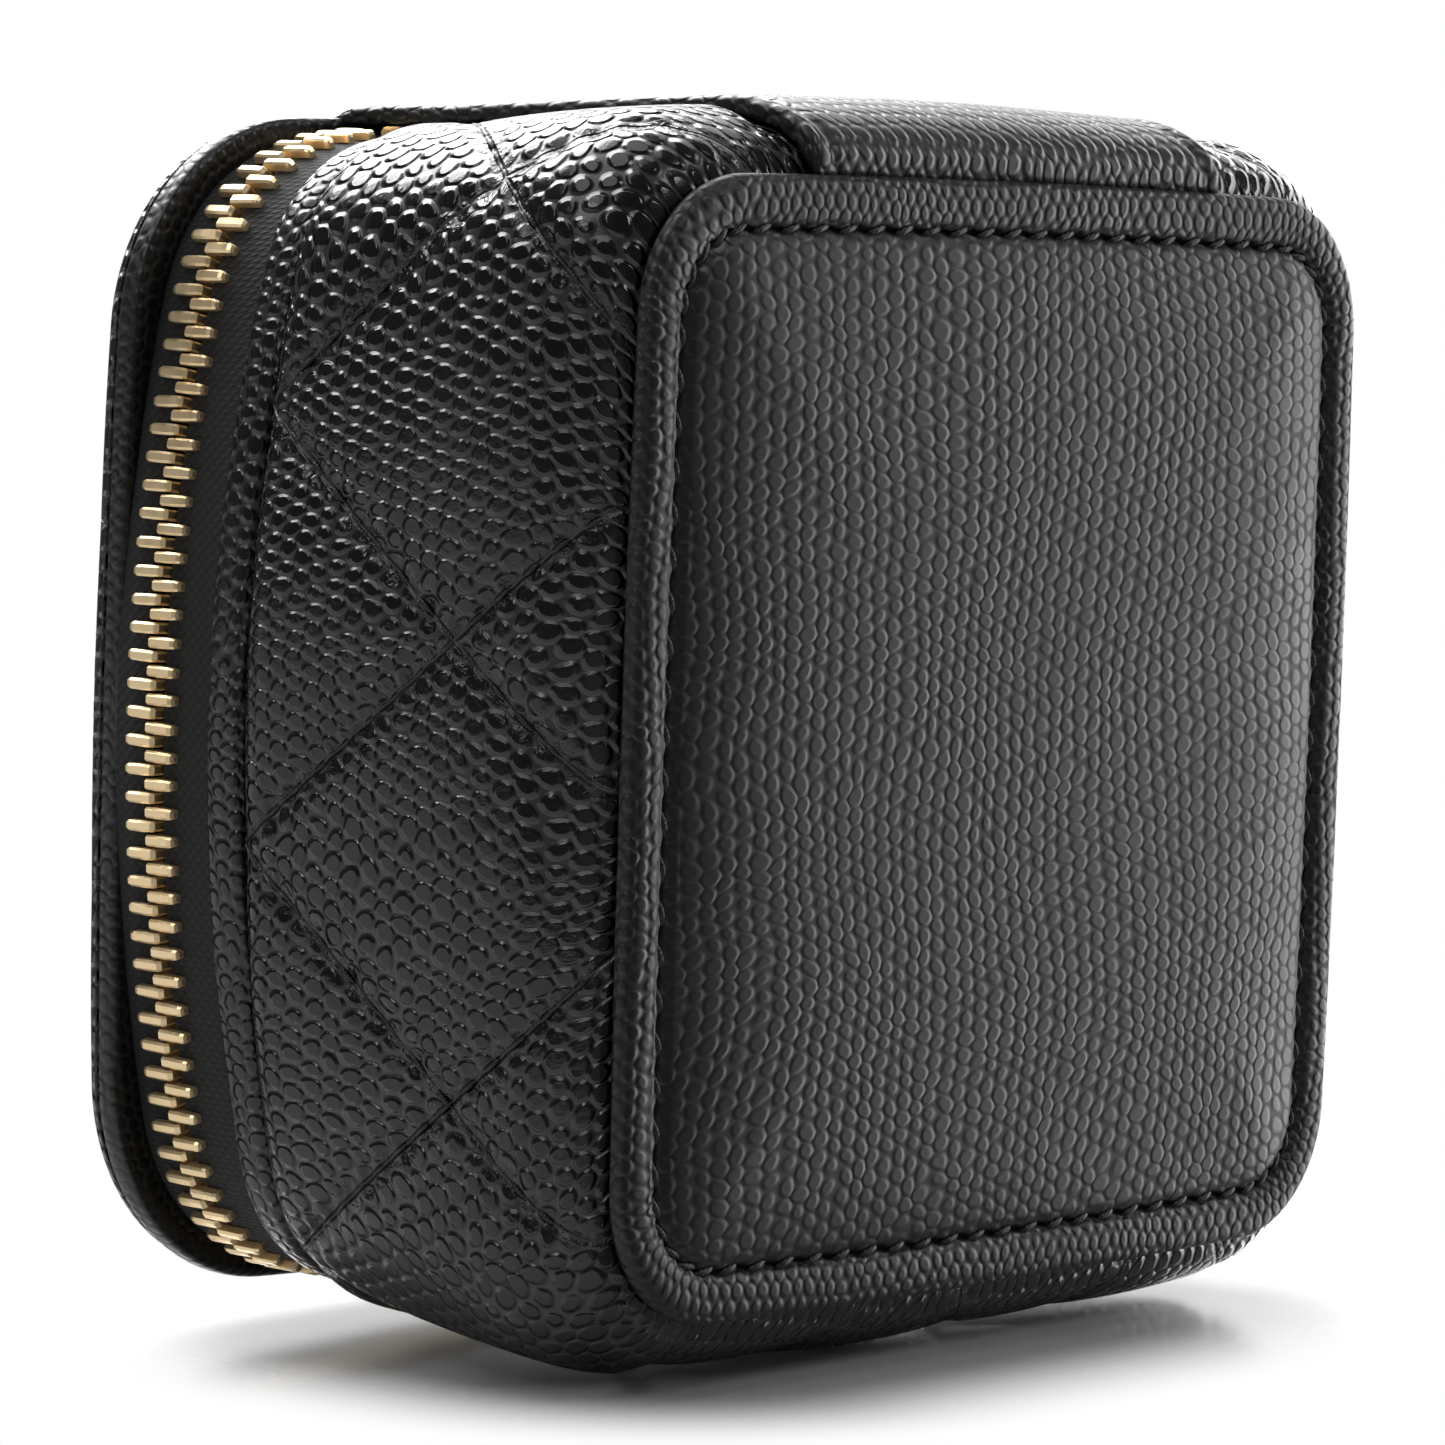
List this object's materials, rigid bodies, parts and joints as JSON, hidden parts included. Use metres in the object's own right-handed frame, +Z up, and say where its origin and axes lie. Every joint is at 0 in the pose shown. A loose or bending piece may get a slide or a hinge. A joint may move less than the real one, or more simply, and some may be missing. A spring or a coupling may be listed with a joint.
{
  "type": "jewellery case",
  "caption": "Square quilted leather jewellery case with a zip round three sides, a strap hinge at the back, a mirror in the lid, ring rolls and an open bay.",
  "frame": {"origin": "centre of the base panel's resting face", "axes": "+Z up through the lid, -Y the front, +Y the hinge strap, +X the right side"},
  "size_m": [0.0943, 0.0894, 0.055],
  "materials": {
    "base_leather": "pebble grain, semi-gloss",
    "quilted_leather": "pebble grain, semi-gloss, diamond quilted",
    "trim_leather": "pebble grain, semi-gloss",
    "strap_leather": "pebble grain, semi-gloss",
    "board": "matt greyboard",
    "lining": "matt brushed cloth",
    "padded_fabric": "matt brushed cloth over foam",
    "zip_tape": "woven tape",
    "zip_metal": "pale gold plate, polished",
    "mirror": "silvered glass"
  },
  "bodies": {
    "case_body": {"base_panel": "base_leather", "body_board": "board", "quilted_wall": "quilted_leather", "rim_band": "trim_leather", "body_lining": "lining", "floor_pad": "padded_fabric", "divider": "padded_fabric", "ring_roll_1": "padded_fabric", "ring_roll_2": "padded_fabric", "ring_roll_3": "padded_fabric", "back_strap": "strap_leather", "body_zip_tape": "zip_tape", "body_zip_teeth": "zip_metal", "zip_stops": "zip_metal"},
    "lid": {"lid_panel": "quilted_leather", "lid_board": "board", "lid_band": "trim_leather", "lid_zip_tape": "zip_tape", "lid_zip_teeth": "zip_metal", "lid_lining": "lining", "lid_mirror": "mirror", "mirror_frame": "trim_leather", "lid_strap": "strap_leather"},
    "slider": {"slider": "zip_metal"},
    "puller": {"puller": "zip_metal", "pull_tab": "strap_leather"}
  },
  "joints": [
    {"name": "lid_hinge", "type": "hinge", "parent": "case_body", "child": "lid", "pos_m": [0, 0.0449, 0.0428], "axis": [-1, 0, 0], "range_deg": [0, 110]},
    {"name": "slider_run", "type": "hinge", "parent": "case_body", "child": "slider", "pos_m": [0.08624, 0, 0.0428], "axis": [0, 0, 1], "range_deg": [0, 20.8], "deforming": ["body_zip_teeth", "lid_zip_teeth"]},
    {"name": "puller_swing", "type": "hinge", "parent": "slider", "child": "puller", "pos_m": [-0.04387, 0.02391, 0.0428], "axis": [0, 0, -1], "range_deg": [0, 165]}
  ]
}
